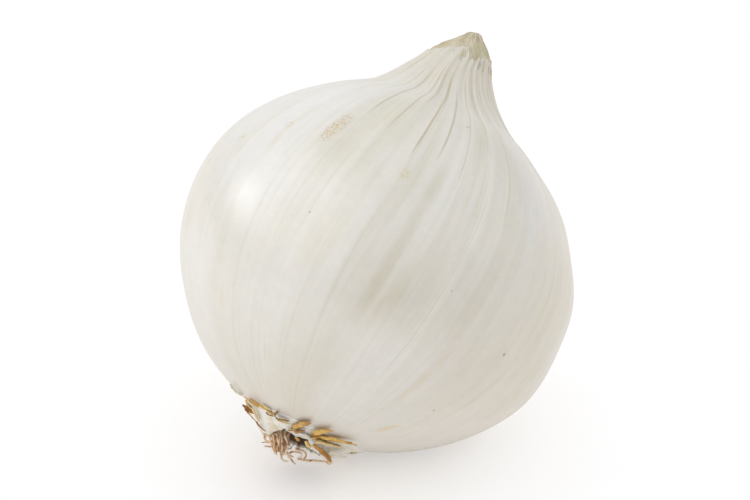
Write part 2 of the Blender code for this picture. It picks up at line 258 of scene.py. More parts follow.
def addPiece(name, mesh):
    obj = bpy.data.objects.new(name, mesh)
    bpy.context.scene.collection.objects.link(obj)
    return obj


def plainMesh(obj):  # the object's modifiers worked into a mesh of its own
    bpy.context.view_layer.update()
    graph = bpy.context.evaluated_depsgraph_get()
    mesh = bpy.data.meshes.new_from_object(obj.evaluated_get(graph))
    name = obj.name
    bpy.data.objects.remove(obj)
    return addPiece(name, mesh)


def finishPiece(obj, material, node):
    obj.data.materials.clear()
    obj.data.materials.append(material)
    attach(obj, "root")
    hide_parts(node)


# Short names for the shader nodes that the materials share


def newMaterial(name, look):
    material = bpy.data.materials.new(name)
    material.use_nodes = True
    tree = material.node_tree
    shader = tree.nodes["Principled BSDF"]
    for socket, value in look.items():
        shader.inputs[socket].default_value = value
    return material, tree, shader


def feed(tree, socket, value):  # a node stands for its first output
    if isinstance(value, bpy.types.Node):
        value = value.outputs[0]
    if isinstance(value, bpy.types.NodeSocket):
        tree.links.new(value, socket)
    else:
        socket.default_value = value


def put(tree, kind, inputs=None, **settings):  # a node with its settings and what goes into it
    node = tree.nodes.new(kind)
    for name, value in settings.items():
        setattr(node, name, value)
    for name, value in (inputs or {}).items():
        feed(tree, node.inputs[name], value)
    return node


def calc(tree, operation, a, b=0.0, c=0.0, clamp=False):
    return put(tree, "ShaderNodeMath", {0: a, 1: b, 2: c}, operation=operation, use_clamp=clamp).outputs[0]


def scaled(tree, value, factor, offset):
    return calc(tree, "MULTIPLY_ADD", value, factor, offset)


def times(tree, first, *others):
    for other in others:
        first = calc(tree, "MULTIPLY", first, other)
    return first


def vectorCalc(tree, operation, a, b):
    node = put(tree, "ShaderNodeVectorMath", {0: a, 1: b}, operation=operation)
    return node.outputs["Value" if operation in ("DISTANCE", "DOT_PRODUCT") else "Vector"]


def between(tree, value, low, high, outLow=0.0, outHigh=1.0):
    ends = {"Value": value, "From Min": low, "From Max": high, "To Min": outLow, "To Max": outHigh}
    return put(tree, "ShaderNodeMapRange", ends, interpolation_type="SMOOTHSTEP").outputs["Result"]


def grainNoise(tree, vector, scales, detail=2.0, roughness=0.5):
    if isinstance(scales, float):
        scales = (scales,) * 3
    stretched = vectorCalc(tree, "MULTIPLY", vector, scales)
    inputs = {"Vector": stretched, "Scale": 1.0, "Detail": detail, "Roughness": roughness}
    return put(tree, "ShaderNodeTexNoise", inputs).outputs["Fac"]


def tint(tree, factor, a, b, blend="MIX"):
    return put(tree, "ShaderNodeMix", {0: factor, 6: a, 7: b}, data_type="RGBA", blend_type=blend).outputs[2]


def attribute(tree, name, kind="Vector"):
    return put(tree, "ShaderNodeAttribute", attribute_name=name).outputs[kind]


def objectPlace(tree):
    return put(tree, "ShaderNodeTexCoord").outputs["Object"]


def split(tree, vector):
    return put(tree, "ShaderNodeSeparateXYZ", {0: vector}).outputs


def dress(tree, shader, paint, layers):  # layers of (height, strength, distance in mm), bottom first
    feed(tree, shader.inputs["Base Color"], paint)
    under = {}
    for height, strength, distance in layers:
        inputs = {"Height": height, "Strength": strength, "Distance": distance * mm, **under}
        under = {"Normal": put(tree, "ShaderNodeBump", inputs)}
    feed(tree, shader.inputs["Normal"], under["Normal"])


def colour(*levels):  # red, green and blue from 0 to 255, as a picture editor gives them
    shares = [level / 255.0 for level in levels]
    return (*(s / 12.92 if s <= 0.04045 else ((s + 0.055) / 1.055) ** 2.4 for s in shares), 1.0)



def glowing(weight, scale, spread=(0.9, 0.6, 0.35)):  # light let in, and how far red, green and blue spread
    return {"Subsurface Weight": weight, "Subsurface Radius": spread, "Subsurface Scale": scale}


# White skin

skin = {
    "columns": 336,
    "inset": 0.12,  # mm, so that the fine relief stays within the solid's size
    "veins": 58,
    "fineVeins": 151,
    "stripes": 37,
    "veinDepth": 0.05,
    "foldAngle": 201.0,  # edge of the outermost layer
    "foldStep": 0.14,
    # ends of the outline, out of sight under the dried tip and behind the root plate: radius and height
    "tuckedIn": [(0.0, 46.5), (3.0, 47.0), (5.4, 49.0), (6.2, 50.6)],
    "foot": [
        (17.6, -37.75), (14.2, -39.05), (12.9, -39.55), (12.5, -39.6),
        (12.2, -39.35), (11.0, -38.4), (0.0, -37.5),
    ],
    # the torn rim on the neck: angle, how much higher or lower it is there
    "rim": (
        (35, 0.8), (80, 0.2), (122, -0.8), (157, -1.5), (169, -0.5), (185, 0.3), (198, 1.1), (214, 2.2),
        (224, -0.5), (237, 0.2), (254, 1.2), (302, 2.4), (340, 1.5), (395, 0.8),
    ),
    # torn notches in the rim: angle in radians, half width, depth
    "notches": ((3.9, 0.10, -1.0), (4.75, 0.16, -1.2), (1.4, 0.2, -0.8), (2.6, 0.08, -0.9)),
    # the veins that stand out most: angle, heights where one begins and ends, half width, strength
    "drawnVeins": (
        (212.7, 48.0, 18.0, 0.33, 0.6), (220.5, 43.0, 20.0, 0.35, 0.52), (201.5, 50.0, 22.0, 0.28, 0.38),
        (191.0, 48.0, 24.0, 0.28, 0.42), (183.0, 49.0, 33.0, 0.3, 0.3), (206.5, 51.0, 32.0, 0.35, 0.3),
        (229.0, 50.0, 16.0, 0.3, 0.3), (238.0, 51.0, 28.0, 0.35, 0.32), (247.0, 50.0, 12.0, 0.28, 0.28),
        (262.0, 51.0, 26.0, 0.3, 0.3), (20.0, 48.0, 22.0, 0.38, 0.55), (75.0, 48.0, 20.0, 0.34, 0.45),
    ),
    "white": colour(242, 240, 236),
    "shade": colour(230, 225, 208),  # where the green of the layer below shows through
    "neck": colour(214, 205, 180),
    "vein": colour(172, 150, 98),
    "stripe": colour(226, 210, 174),
    "rootEnd": colour(226, 206, 160),
    "shadeAmount": 0.55,
    "neckAmount": 0.55,
    "stripeAmount": 0.55,
    "fineAmount": 0.1,
    "rootEndAmount": 0.12,
    "mottle": 420.0,
    "speckle": 1900.0,
    "plainMark": 1.2,  # marks up to this size have no speckles
    # patterns that run along the skin: how fine round it twice and down it, detail, roughness
    "patterns": {
        "broad": ((1.6, 1.6, 0.9), 3.0),
        "patch": ((7.0, 7.0, 3.0),),
        "cloud": ((9.0, 9.0, 2.0), 3.0),
        "strand": ((13.0, 13.0, 0.7), 2.0),
        "streak": ((30.0, 30.0, 0.6), 3.0, 0.6),
        "fibre": ((90.0, 90.0, 2.5), 2.0),
    },
    "look": {"Roughness": 0.36, **glowing(0.18, 0.004), "Coat Weight": 0.9, "Coat Roughness": 0.28},
    # broad patches of colour, the first three partly painted shade: angles where one starts and ends, how
    # softly, heights, strength, colour
    "zones": (
        # painted shade over the green of the layer below: darker right of the fold, where the bright
        # reflection ends
        ((201, 262), (3.0, 74.0), (19.0, -15.0), 0.36, (205, 194, 160)),
        ((206, 262), (8.0, 50.0), (8.0, -12.0), 0.35, (186, 172, 120)),
        # painted reflection: a darker greyish-tan band where the dark horizon low in the room is mirrored
        ((120, 204), (22.0, 9.0), (5.0, -11.0), 0.22, (222, 212, 184)),
        ((176, 258), (24.0, 24.0), (38.0, 11.0), 0.42, (211, 206, 182)),
        ((246, 330), (24.0, 24.0), (22.0, -20.0), 0.3, (222, 212, 196)),
        ((330, 470), (20.0, 24.0), (24.0, -8.0), 0.5, (216, 206, 172)),
    ),
}
# Small marks: angle round the axis, height, size in mm, strength, colour
marks = (
    (184.6, 17.2, 2.2, 0.55, (198, 166, 112)), (185.2, 19.2, 2.5, 0.6, (194, 160, 106)),
    (185.6, 21.2, 2.5, 0.6, (194, 162, 106)), (186.2, 23.2, 2.1, 0.5, (198, 168, 112)),
    (185.0, 18.4, 1.15, 0.3, (226, 206, 162)), (185.4, 20.2, 1.15, 0.35, (226, 206, 162)),
    (185.7, 22.0, 1.15, 0.3, (226, 206, 162)), (154.3, 11.9, 1.6, 0.45, (200, 184, 140)),
    (169.6, 17.5, 1.5, 0.4, (200, 184, 140)), (192.9, 0.2, 0.35, 0.5, (150, 132, 84)),
    (261.2, -9.3, 0.55, 0.8, (178, 156, 66)), (256.8, -25.7, 0.5, 0.4, (150, 144, 134)),
    (227.7, 32.9, 0.7, 0.4, (180, 160, 110)), (212.1, 15.6, 2.0, 0.5, (214, 200, 132)),
    (251.4, -34.3, 1.1, 0.25, (230, 208, 142)), (252.0, -33.7, 1.2, 0.35, (230, 206, 138)),
    (252.6, -33.1, 1.2, 0.4, (228, 204, 134)), (253.2, -32.4, 1.2, 0.35, (230, 206, 138)),
    (253.8, -31.8, 1.0, 0.25, (230, 208, 142)), (236, -3.0, 0.35, 0.35, (160, 140, 110)),
    (40, 10.0, 2.6, 0.5, (190, 170, 120)), (75, -14.0, 1.4, 0.6, (172, 152, 96)),
    (330, 26.0, 2.0, 0.45, (190, 168, 118)),
)


def veinRelief(angle, height):
    sway = 0.35 * wanderRound(angle, 3, height / 40)
    place = (angle / tau * skin["veins"] + sway) % 1.0
    return skin["veinDepth"] * exp(-(((place - 0.5) / 0.12) ** 2))


def foldRelief(angle, height):  # the outermost layer ends in a thin raised line
    past = (degrees(angle) - skin["foldAngle"]) % 360.0
    shown = smooth(height, -16.0, -6.0) * (1.0 - smooth(height, 8.0, 20.0))
    layer = smooth(past, 300.0, 359.4) if past > 180.0 else 0.0
    line = exp(-((min(past, 360.0 - past) / 0.55) ** 2))
    return skin["foldStep"] * shown * (layer + 0.6 * line)


def skinShape(angle, radius, height, normal):
    if radius < 0.01:
        return Vector((0.0, 0.0, height))
    wavy = 0.16 * wanderRound(angle, 2.2, height / 16, 1.3) * smooth(height, -36, -20)
    pucker = 0.2 * wanderRound(angle, 10, height / 40) * smooth(height, 22, 44)
    lift = ribRelief(angle, height) + lumpRelief(angle, height) + wavy + pucker
    lift += (veinRelief(angle, height) + foldRelief(angle, height)) * smooth(height, -38, -30) - skin["inset"]
    radius += normal.x * lift
    lifted = height + normal.y * lift
    rim = smooth(height, 46.0, 50.2)
    tear = rimShift(degrees(unevenAngle(angle, height)))
    tear += 0.2 * ragged(angle, (7, 13, 18)) + 0.14 * ragged(angle, (29, 43)) + 0.5 * tornNotch(angle)
    radius -= (0.75 if tear > 0.0 else 0.4) * tear * rim
    foot = 1.0 - smooth(height, -39.75, -38.6)
    lifted += tear * rim + foot * 0.28 * ragged(angle, (9, 17, 26))
    radius += foot * 0.5 * ragged(angle, (5, 12, 19))
    return laidOver(radius, lifted, angle)


def rimShift(bearing):  # how much higher the rim of the white skin is at an angle
    line = skin["rim"]
    bearing = (bearing - line[0][0]) % 360.0 + line[0][0]
    for (a, low), (b, high) in zip(line, line[1:]):
        if bearing <= b:
            return low + (high - low) * smooth(bearing, a, b)


def tornNotch(angle):
    notch = 0.0
    for spot, width, depth in skin["notches"]:
        away = (angle - spot + pi) % tau - pi
        notch += depth * exp(-((away / width) ** 2))
    return notch


def skinOutline():
    latitude = degrees(acos(bulb["neckStart"] / bulb["radius"]))
    edge, top = bulb["skinEdge"]
    lip = [(edge - 0.42, top - 0.05), (edge - 0.22, top + 0.08)]
    outline = finer(skin["tuckedIn"] + lip, 0.7) + neckCurve(54)
    outline += bodyArc(bulb["rise"], latitude, 0.0, 74)[1:] + bodyArc(bulb["drop"], 0.0, -67.0, 88)[1:]
    return outline + finer(skin["foot"], 0.8)[2:]


def makeSkin():
    return turnedPiece("whiteSkin", skinOutline(), skin["columns"], skinShape)


def alongAt(height):  # the share along the outline, as the material knows it, of a height below the rim
    run, last = 0.0, None
    for radius, level in skinOutline():
        if last:
            run += dist(last, (radius, level))
        last = (radius, level)
        if radius > bulb["skinEdge"][0] and level < height:
            break
    return run / bulb["radius"]


def pointOnSkin(bearing, height):  # where a mark sits, in the frame's own metres
    rise = bulb["rise"] if height >= 0 else bulb["drop"]
    radius = bulb["radius"] * sqrt(1.0 - (height / rise) ** 2)
    normal = Vector((radius / bulb["radius"] ** 2, height / rise**2)).normalized()
    return lay @ (skinShape(evenedAngle(radians(bearing), height), radius, height, normal) * mm)


def fromMiddle(tree, value):  # how far a number is from the nearest half
    return calc(tree, "ABSOLUTE", calc(tree, "SUBTRACT", calc(tree, "FRACT", value), 0.5))


def veinMask(tree, u, grain, count, width, wobble, power):
    shift = scaled(tree, grainNoise(tree, grain, (2.6, 2.6, 0.8)), wobble, -0.5 * wobble)
    place = scaled(tree, u, float(count), shift)
    inputs = {"W": calc(tree, "FLOOR", place)}
    cell = put(tree, "ShaderNodeTexWhiteNoise", inputs, noise_dimensions="1D").outputs["Value"]
    line = between(tree, fromMiddle(tree, place), width, times(tree, width, 0.15))
    strength = calc(tree, "POWER", cell, power)
    broken = between(tree, grainNoise(tree, grain, (12.0, 12.0, 2.2)), 0.36, 0.62, 0.06, 1.0)
    return times(tree, line, strength, broken), cell


def zoneMask(tree, u, along, angles, soft, heights):
    middle = sum(angles) / 720.0 % 1.0
    width = (angles[1] - angles[0]) / 720.0
    past = calc(tree, "SUBTRACT", calc(tree, "FRACT", calc(tree, "ADD", u, 1.5 - middle)), 0.5)
    enter = between(tree, past, -width - soft[0] / 720.0, -width + soft[0] / 720.0)
    leave = between(tree, past, width, width - soft[1] / 360.0)
    top, bottom = alongAt(heights[0]), alongAt(heights[1])
    begin = between(tree, along, top - 0.12, top + 0.3)
    end = between(tree, along, bottom + 0.14, bottom - 0.14)
    return times(tree, enter, leave, begin, end)


def drawnVein(tree, u, along, grain, bearing, top, bottom, wide):
    middle = evenedAngle(radians(bearing), (top + bottom) / 2.0) / tau % 1.0
    sway = scaled(tree, grainNoise(tree, grain, (2.0, 2.0, 1.6)), 0.006, 0.497 - middle)
    away = fromMiddle(tree, calc(tree, "ADD", u, sway))
    around = between(tree, along, alongAt(50.0), alongAt(18.0), 53.0, 235.0)  # the girth there
    line = between(tree, times(tree, away, around), wide, 0.1 * wide)
    begin = between(tree, along, alongAt(top), alongAt(top) + 0.2)
    end = between(tree, along, alongAt(bottom), alongAt(bottom) - 0.2)
    return times(tree, line, begin, end)


def skinMaterial():
    material, tree, shader = newMaterial("whitePaperySkin", skin["look"])
    u = split(tree, put(tree, "ShaderNodeUVMap", uv_map="skin").outputs["UV"])[0]
    grain, place = attribute(tree, "grain"), objectPlace(tree)
    along = split(tree, grain)[2]
    neckward, rootward = between(tree, along, 1.1, 0.25), between(tree, along, 2.9, 3.4)
    pattern = {name: grainNoise(tree, grain, *values) for name, values in skin["patterns"].items()}
    mottle = grainNoise(tree, place, skin["mottle"], 5.0, 0.7)
    width = scaled(tree, neckward, 0.09, 0.07)
    main, panel = veinMask(tree, u, grain, skin["veins"], width, 0.8, 2.4)
    fine = veinMask(tree, u, grain, skin["fineVeins"], 0.22, 1.4, 2.5)[0]
    stripe = veinMask(tree, u, grain, skin["stripes"], 0.2, 1.6, 2.2)[0]
    stripe = times(tree, stripe, between(tree, pattern["patch"], 0.45, 0.62), skin["stripeAmount"])
    shaded = times(tree, between(tree, pattern["broad"], 0.42, 0.66), skin["shadeAmount"])
    paint = tint(tree, shaded, skin["white"], skin["shade"])
    paint = tint(tree, times(tree, neckward, skin["neckAmount"]), paint, skin["neck"])
    streaky = between(tree, pattern["strand"], 0.35, 0.65, 0.55, 1.3)
    for angles, soft, heights, strong, shade in skin["zones"]:
        cloudy = between(tree, pattern["cloud"], 0.3, 0.7, 0.5 * strong, strong)
        mask = zoneMask(tree, u, along, angles, soft, heights)
        paint = tint(tree, times(tree, mask, cloudy, streaky), paint, colour(*shade))
    tone = scaled(tree, panel, 0.025, between(tree, pattern["streak"], 0.3, 0.7, 0.965, 1.0))
    tone = times(tree, tone, between(tree, mottle, 0.3, 0.7, 0.965, 1.0))
    paint = tint(tree, 1.0, paint, tone, "MULTIPLY")
    strength = scaled(tree, neckward, 0.62, 0.26)
    paint = tint(tree, stripe, paint, skin["stripe"])
    paint = tint(tree, calc(tree, "MULTIPLY", main, strength, clamp=True), paint, skin["vein"])
    paint = tint(tree, times(tree, fine, skin["fineAmount"]), paint, skin["vein"])
    for *course, strong in skin["drawnVeins"]:
        line = drawnVein(tree, u, along, grain, *course)
        paint = tint(tree, times(tree, line, strong), paint, skin["vein"])
    paint = tint(tree, times(tree, rootward, skin["rootEndAmount"]), paint, skin["rootEnd"])
    layers = ((pattern["streak"], 0.08, 0.2), (pattern["fibre"], 0.1, 0.08), (mottle, 0.12, 0.1))
    dress(tree, shader, markedColour(tree, place, paint), (*layers, (main, 0.15, 0.1)))
    return material


def markedColour(tree, place, paint):
    speckle = between(tree, grainNoise(tree, place, skin["speckle"], 3.0, 0.7), 0.44, 0.62)
    for bearing, height, size, strong, shade in marks:
        away = vectorCalc(tree, "DISTANCE", place, pointOnSkin(bearing, height))
        amount = times(tree, between(tree, away, size * mm, size * 0.35 * mm), strong)
        if size > skin["plainMark"]:
            amount = times(tree, amount, speckle)
        paint = tint(tree, amount, paint, colour(*shade))
    return paint


# Dried tip of the neck

tip = {
    "columns": 216,
    # its outline: radii, and how far each lies below the top
    "radii": (8.2, 7.75, 7.35, 6.75, 6.0, 5.1, 4.1, 3.1, 2.3, 1.6, 0.7, 0.0),
    "drops": (9.2, 8.0, 7.0, 6.1, 5.1, 4.0, 2.9, 1.9, 1.15, 0.35, 0.0, 0.5),
    "fibres": 47,
    "fibreDepth": 0.13,
    "cream": colour(223, 212, 190),
    "tan": colour(192, 166, 128),
    "green": colour(192, 190, 156),
    "brown": colour(166, 136, 98),
    # angle, height, radius, size, strength, colour
    "spots": (
        (285, 55.4, 4.0, 3.4, 0.85, "green"),
        (262, 54.4, 5.0, 2.0, 0.6, "green"),
        (222, 57.0, 2.6, 1.2, 0.4, "brown"),
        (180, 55.0, 4.8, 1.6, 0.45, "tan"),
        (140, 52.3, 6.9, 2.4, 0.75, "tan"),
        (20, 54.0, 4.5, 2.4, 0.8, "brown"),
    ),
    "look": {"Roughness": 0.62, **glowing(0.1, 0.002)},
}


def tipShape(angle, radius, height, normal):
    if radius < 0.01:
        return laidOver(0.0, height, 0.0)
    twisted = angle + 0.09 * (height - 50.0)
    lift = ribRelief(twisted, height) * 0.6
    sway = 2.5 * wanderRound(angle, 2, height / 4)
    fold = sin(tip["fibres"] * twisted + sway)
    twist = wanderRound(twisted, 4, height / 3)
    lift += tip["fibreDepth"] * (0.5 * fold + twist) * smooth(radius, 0.8, 3.0)
    shown = smooth(height, 55.0, 56.6)
    radius += normal.x * lift
    crumple = (0.2 * ragged(angle, (3, 7, 10)) + 0.12 * ragged(angle, (17, 26))) * shown
    return laidOver(radius, height + normal.y * lift + crumple, angle)


def makeTip():
    points = [(r, bulb["tipTop"] - d) for r, d in zip(reversed(tip["radii"]), reversed(tip["drops"]))]
    outline = finer(points + [(6.4, 47.8), (3.0, 46.6), (0.0, 46.0)], 0.25)
    return turnedPiece("driedTip", outline, tip["columns"], tipShape)


def tipMaterial():
    material, tree, shader = newMaterial("driedNeckLayers", tip["look"])
    grain, place = attribute(tree, "grain"), objectPlace(tree)
    patch = grainNoise(tree, grain, (2.0, 2.0, 6.0), 3.0)
    fibre = grainNoise(tree, grain, (22.0, 22.0, 5.0), 3.0, 0.6)
    paint = tint(tree, between(tree, patch, 0.42, 0.66, 0.0, 0.7), tip["cream"], tip["green"])
    paint = tint(tree, between(tree, fibre, 0.45, 0.7, 0.0, 0.7), paint, tip["tan"])
    for bearing, height, radius, size, strong, name in tip["spots"]:
        spot = lay @ (laidOver(radius, height, radians(bearing)) * mm)
        near = between(tree, vectorCalc(tree, "DISTANCE", place, spot), size * mm, size * 0.3 * mm)
        uneven = times(tree, near, between(tree, fibre, 0.3, 0.6, 0.4 * strong, strong))
        paint = tint(tree, uneven, paint, tip[name])
    weave = grainNoise(tree, grain, (70.0, 70.0, 20.0))
    dress(tree, shader, paint, ((fibre, 0.5, 0.3), (weave, 0.3, 0.15)))
    return material


# White root plate, with the hollow that the roots come out of

plate = {
    "columns": 240,
    "hollow": ((7.4, -43.4), (7.1, -42.7), (6.7, -41.4), (6.2, -40.1), (5.0, -39.5), (0.0, -39.3)),
    "notch": (207, 38, 2.3),  # where the lip is torn down: angle, half width in degrees, depth
    "cream": colour(252, 250, 244),
    "stain": colour(226, 204, 158),
    # painted shade for the inside of the hollow
    "hollowShade": colour(96, 66, 28),
    "look": {"Roughness": 0.5, **glowing(0.15, 0.003)},
}


def lipNotch(angle):
    spot, width, depth = plate["notch"]
    away = abs(apart(angle, spot))
    return depth * (1.0 - smooth(away, width * 0.45, width * 1.25))


def plateShape(angle, radius, height, normal):
    if radius < 0.01:
        return Vector((0.0, 0.0, height))
    share = smooth(radius, 1.0, 7.0) * (1.0 - smooth(radius, 9.0, 14.0))
    tilt = bulb["plateTilt"] * cos(angle - radians(bulb["flatSide"])) * share
    lip = smooth(-height, 41.0, 43.4)
    rough = 0.22 * wanderRound(angle, radius, height, 0.55) + 0.1 * wanderRound(angle, radius, height, 1.7)
    folds = 0.16 * ragged(angle, (21, 34)) * smooth(radius, 7.6, 8.8) * (1 - smooth(radius, 11.5, 13.0))
    lift = (rough + folds) * smooth(-height, 39.6, 41.0)
    edge = lip * (0.25 * ragged(angle, (6, 11, 17)) + 0.16 * ragged(angle, (27, 41)) + lipNotch(angle))
    radius += normal.x * lift
    return laidOver(radius, height + normal.y * lift + tilt + edge, angle)


def plateOutside():
    return [(0.0, -37.0), (9.0, -37.6), (13.6, -38.3), *rootPlate]


def makePlate():
    outline = finer(plateOutside() + list(plate["hollow"]), 0.22)
    return turnedPiece("rootPlate", outline, plate["columns"], plateShape)


def plateMaterial():
    material, tree, shader = newMaterial("rootPlateFlesh", plate["look"])
    grain, place = attribute(tree, "grain"), objectPlace(tree)
    along = split(tree, grain)[2]
    blotch = grainNoise(tree, place, 260.0, 3.0)
    streak = grainNoise(tree, grain, (30.0, 30.0, 5.0), 3.0)
    paint = tint(tree, between(tree, blotch, 0.5, 0.72, 0.0, 0.7), plate["cream"], plate["stain"])
    paint = tint(tree, between(tree, streak, 0.55, 0.75, 0.0, 0.35), paint, plate["stain"])
    outside = plateOutside()
    lip = sum(dist(a, b) for a, b in zip(outside, outside[1:])) / bulb["radius"]
    # painted shade: the hollow past the lip is painted dark brown
    paint = tint(tree, between(tree, along, lip, lip + 0.04), paint, plate["hollowShade"])
    pores = grainNoise(tree, place, 1400.0)
    dress(tree, shader, paint, ((streak, 0.35, 0.3), (pores, 0.25, 0.12)))
    return material


# Torn golden skin round the plate

scraps = {
    "thickness": 0.13,
    "inner": 12.0,
    "gold": colour(248, 196, 94),
    "pale": colour(250, 224, 160),
    "olive": colour(132, 106, 34),
    "brown": colour(176, 110, 50),
    "white": colour(238, 235, 228),
    "look": {"Roughness": 0.4, **glowing(0.12, 0.001, (0.9, 0.5, 0.2))},
    # angle round the axis, radius the tip reaches, half width, skew in degrees
    "places": (
        (334, 14.4, 0.95, -12), (350, 14.1, 1.20, 14), (6, 14.3, 0.90, -20), (29, 15.0, 1.30, 12),
        (44, 16.9, 0.95, -20), (60, 16.0, 1.25, 28), (76, 18.0, 1.05, -12), (92, 15.6, 1.30, 18),
        (106, 15.4, 0.90, -34), (116, 13.4, 1.1, 14), (131, 14.2, 0.85, -36),
    ),
    # the side that is seen best, one blade at a time: where it starts and ends (angle, radius, lift off the
    # base), half width, roll in degrees and tone: 0 olive, 0.25 brown, 0.5 gold, 0.75 pale, 1 white
    "near": (
        ((205, 10.8, 0.3), (218, 17.8, 0.8), 1.0, 10, 0.55),
        ((209, 10.6, 0.5), (217, 12.8, 0.7), 0.55, 30, 0.25),
        ((200, 10.6, 0.5), (208, 11.2, 0.6), 0.4, 30, 0.5),
        ((228, 11.6, 0.5), (233, 19.2, 1.0), 0.95, 10, 0.55),
        ((226, 11.2, 0.6), (232, 13.0, 0.8), 0.45, 20, 0.2),
        ((230, 11.2, 0.6), (258, 17.8, 1.0), 1.1, 10, 0.52),
        ((231, 11.8, 0.9), (252, 14.4, 1.3), 0.5, 30, 0.02),
        ((234, 10.6, 0.6), (261, 13.4, 1.0), 0.9, 20, 0.7),
        ((233, 9.8, 0.5), (268, 9.2, 1.1), 0.95, 10, 0.44),
        ((240, 9.6, 0.7), (274, 8.8, 1.4), 0.75, 20, 0.28),
        ((222, 9.8, 0.5), (232, 9.2, 0.8), 0.8, 10, 0.66),
        ((207, 7.5, -1.4), (217, 7.5, -1.2), 0.6, 0, 0.5),
        ((256, 10.0, 0.8), (281, 11.0, 1.3), 1.4, 20, 1.0),
        ((196, 10.4, 0.35), (230, 10.8, 0.4), 0.95, 0, 1.0),
        ((181, 13.0, 0.4), (162, 17.2, 0.7), 0.45, 10, 0.45),
        ((164, 14.0, 0.6), (156, 17.4, 0.9), 0.4, 10, 0.55),
        ((142, 12.8, 0.8), (153, 16.0, 0.9), 0.5, 10, 0.72),
        ((147, 13.2, 0.8), (148, 10.0, 0.8), 0.6, 0, 0.8),
        ((130, 13.2, 1.7), (140, 9.8, 0.9), 0.25, 30, 0.5),
        ((139, 10.0, 0.9), (160, 8.6, 0.5), 0.3, 30, 0.25),
        ((173, 13.2, 0.5), (182, 12.9, 0.6), 0.35, 30, 0.08),
        ((190, 15.6, 0.5), (186, 12.6, 0.6), 0.3, 30, 0.1),
        ((186, 12.7, 0.8), (202, 13.9, 0.6), 0.5, 30, 0.06),
        ((187, 12.2, 0.7), (201, 12.9, 0.7), 0.3, 20, 0.55),
        ((172, 15.2, 0.3), (182, 14.6, 0.4), 0.6, 10, 0.8),
        ((141, 16.0, 0.3), (147, 20.0, 0.7), 0.8, 10, 0.95),
    ),
}


def baseOutline(radius):
    if radius >= rootPlate[0][0]:
        return -bulb["drop"] * sqrt(1.0 - (radius / bulb["radius"]) ** 2)
    for (outer, above), (inner, below) in zip(rootPlate, rootPlate[1:]):
        if radius >= inner:
            return below + (above - below) * (radius - inner) / (outer - inner)
    return rootPlate[-1][1]


def baseNormal(radius):
    slope = (baseOutline(radius + 0.4) - baseOutline(radius - 0.4)) / 0.8
    return Vector((slope, 0.0, -1.0)).normalized()


def overBase(angle, radius, lift):
    point = Vector((radius, 0.0, baseOutline(radius))) + baseNormal(radius) * lift
    return Matrix.Rotation(angle, 3, "Z") @ point


def clearOfBase(point, gap):  # pushed out where it would sink into the base
    radius, angle = hypot(point.x, point.y), atan2(point.y, point.x)
    normal = baseNormal(radius)
    short = gap - (point.z - baseOutline(radius)) * normal.z
    return point + Matrix.Rotation(angle, 3, "Z") @ normal * max(short, 0.0)


def bladeSpot(start, end, halfWidth, roll, seed):
    def centre(t):
        angle, radius, lift = (a + (b - a) * t for a, b in zip(start, end))
        angle += 2.5 * sin(pi * t) * sin(seed * 5.0)
        return overBase(radians(angle), radius, lift + 0.25 * sin(pi * t))

    def spot(along, across):
        t = along * (1.0 - 0.14 * abs(wander(across * 2.5, seed, 1.0)) - 0.10 * across**2)
        middle = centre(t)
        ahead = (centre(t + 0.05) - centre(t - 0.05)).normalized()
        radial = Vector((middle.x, middle.y, 0.0)).normalized()
        outward = (radial * 0.5 - Vector((0.0, 0.0, 1.0))).normalized()
        side = outward.cross(ahead).normalized()
        lean = radians(roll)
        flat = side * cos(lean) - side.cross(ahead) * sin(lean)
        narrow = sin(pi * (0.16 + 0.82 * t)) ** 0.7
        narrow *= 1.0 + 0.4 * wander(t * 5.0, seed, across, 1.4)
        curl = (0.35 * across**2 + 0.22 * wander(t * 4.0, across * 1.6, seed, 1.6)) * halfWidth
        place = middle + flat * across * halfWidth * narrow + flat.cross(ahead) * curl
        return clearOfBase(place, 0.1) if start[2] > 0.0 else place

    return spot


def farBlades(extra):  # the scraps of the solid that the picture doesn't show, with two slivers beside each
    blades = []
    for bearing, reach, halfWidth, skew in scraps["places"]:
        floorSide = max(0.0, cos(radians(bearing))) ** 2
        for sliver in (False, True, True):
            first = scraps["inner"] + extra.uniform(-1.1, 0.5)
            length = (reach - first) * (extra.uniform(0.4, 0.8) if sliver else 1.0)
            at = bearing + (extra.uniform(-9, 9) if sliver else 0.0)
            turned = at + degrees(tan(radians(skew)) * length / reach)
            top = 0.9 - 0.2 * floorSide + extra.uniform(0.0, 0.7) * (1.0 - floorSide)
            width = halfWidth * (extra.uniform(0.35, 0.6) if sliver else 0.9)
            roll, tone = extra.uniform(-40, 40) * (1.0 - floorSide), extra.uniform(0.0, 0.9)
            blades.append(((at, first, 0.4), (turned, first + length, top), width, roll, tone))
    return blades


def scrapGrid(places, faces, flakes, spot, size, tone):
    (rows, columns), first = size, len(places)
    for i in range(rows + 1):
        for j in range(columns + 1):
            along, across = i / rows, j / columns * 2.0 - 1.0
            places.append(spot(along, across))
            flakes.append((along, across, tone))
    for i in range(rows):
        for j in range(columns):
            a = first + i * (columns + 1) + j
            faces.append((a, a + 1, a + columns + 2, a + columns + 1))


def makeScraps():
    places, faces, flakes = [], [], []
    blades = list(scraps["near"]) + farBlades(random.Random(41))
    for index, (start, end, halfWidth, roll, tone) in enumerate(blades):
        size = (20, 8) if halfWidth > 0.7 else (14, 4)
        scrapGrid(places, faces, flakes, bladeSpot(start, end, halfWidth, roll, index * 3.7), size, tone)
    mesh = meshFrom("goldenScraps", places, faces)
    storeVectors(mesh, "flake", flakes)
    obj = addPiece("goldenScraps", mesh)
    wall = obj.modifiers.new("Paper", "SOLIDIFY")
    wall.thickness, wall.offset = scraps["thickness"] * mm, 0.0
    return plainMesh(obj)


def ramp(tree, value, stops):  # stops of (position, colour)
    node = put(tree, "ShaderNodeValToRGB", {"Fac": value})
    for index, (position, shade) in enumerate(stops):
        entry = node.color_ramp.elements[index] if index < 2 else node.color_ramp.elements.new(position)
        entry.position, entry.color = position, shade
    return node.outputs["Color"]


